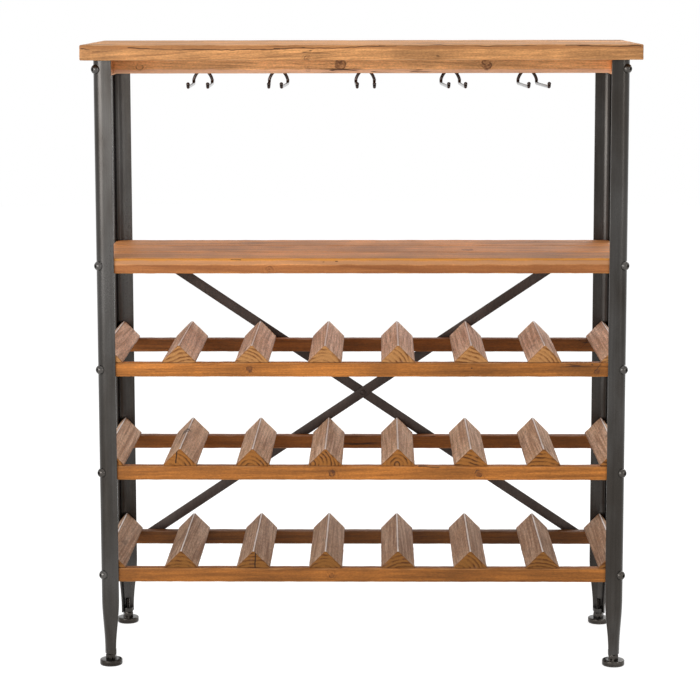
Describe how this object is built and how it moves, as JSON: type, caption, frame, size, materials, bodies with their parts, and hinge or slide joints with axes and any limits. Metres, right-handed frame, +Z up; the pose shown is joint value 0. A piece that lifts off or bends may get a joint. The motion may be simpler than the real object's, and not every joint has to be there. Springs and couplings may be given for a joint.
{
  "type": "floor wine rack",
  "caption": "Floor-standing wine rack with a plank top, a shelf, wire glass hangers and tiers of V-shaped bottle rests between bent steel corner posts.",
  "frame": {"origin": "on the floor, at the middle of the rack's width and depth", "axes": "+Z up, +X to the right seen from the front, the front faces -Y"},
  "size_m": [0.965, 0.356, 1.1],
  "materials": {
    "plank_wood": "waxed reclaimed planks, orange brown",
    "rest_wood": "sanded bars, pinkish grey brown with pale worn ridges",
    "post_steel": "gunmetal grey, satin",
    "brace_steel": "near black, satin",
    "hanger_wire": "dark grey, semi gloss",
    "foot_steel": "near black, satin"
  },
  "bodies": {
    "rack": {"top_board": "plank_wood", "top_side_rail_left": "plank_wood", "top_side_rail_right": "plank_wood", "top_centre_rail": "plank_wood", "shelf_board": "plank_wood", "tier_1_front_rail": "plank_wood", "tier_1_back_rail": "plank_wood", "tier_1_divider_1": "rest_wood", "tier_1_divider_2": "rest_wood", "tier_1_divider_3": "rest_wood", "tier_1_divider_4": "rest_wood", "tier_1_divider_5": "rest_wood", "tier_1_divider_6": "rest_wood", "tier_1_divider_7": "rest_wood", "tier_1_divider_8": "rest_wood", "tier_2_front_rail": "plank_wood", "tier_2_back_rail": "plank_wood", "tier_2_divider_1": "rest_wood", "tier_2_divider_2": "rest_wood", "tier_2_divider_3": "rest_wood", "tier_2_divider_4": "rest_wood", "tier_2_divider_5": "rest_wood", "tier_2_divider_6": "rest_wood", "tier_2_divider_7": "rest_wood", "tier_2_divider_8": "rest_wood", "tier_3_front_rail": "plank_wood", "tier_3_back_rail": "plank_wood", "tier_3_divider_1": "rest_wood", "tier_3_divider_2": "rest_wood", "tier_3_divider_3": "rest_wood", "tier_3_divider_4": "rest_wood", "tier_3_divider_5": "rest_wood", "tier_3_divider_6": "rest_wood", "tier_3_divider_7": "rest_wood", "tier_3_divider_8": "rest_wood", "post_front_left": "post_steel", "post_front_right": "post_steel", "post_back_left": "post_steel", "post_back_right": "post_steel", "brace_rising": "brace_steel", "brace_falling": "brace_steel", "brace_rivet": "brace_steel", "brace_screw_top_left": "brace_steel", "brace_screw_top_right": "brace_steel", "brace_screw_bottom_left": "brace_steel", "brace_screw_bottom_right": "brace_steel", "glass_hanger_1": "hanger_wire", "glass_hanger_screw_1": "brace_steel", "glass_hanger_2": "hanger_wire", "glass_hanger_screw_2": "brace_steel", "glass_hanger_3": "hanger_wire", "glass_hanger_screw_3": "brace_steel", "glass_hanger_4": "hanger_wire", "glass_hanger_screw_4": "brace_steel", "glass_hanger_5": "hanger_wire", "glass_hanger_screw_5": "brace_steel"},
    "foot_front_left": {"foot_front_left": "foot_steel"},
    "foot_front_right": {"foot_front_right": "foot_steel"},
    "foot_back_left": {"foot_back_left": "foot_steel"},
    "foot_back_right": {"foot_back_right": "foot_steel"}
  },
  "joints": [
    {"name": "foot_front_left_screw", "type": "slide", "parent": "rack", "child": "foot_front_left", "axis": [0, 0, 1], "range_m": [-0.012, 0]},
    {"name": "foot_front_right_screw", "type": "slide", "parent": "rack", "child": "foot_front_right", "axis": [0, 0, 1], "range_m": [-0.012, 0]},
    {"name": "foot_back_left_screw", "type": "slide", "parent": "rack", "child": "foot_back_left", "axis": [0, 0, 1], "range_m": [-0.012, 0]},
    {"name": "foot_back_right_screw", "type": "slide", "parent": "rack", "child": "foot_back_right", "axis": [0, 0, 1], "range_m": [-0.012, 0]}
  ]
}
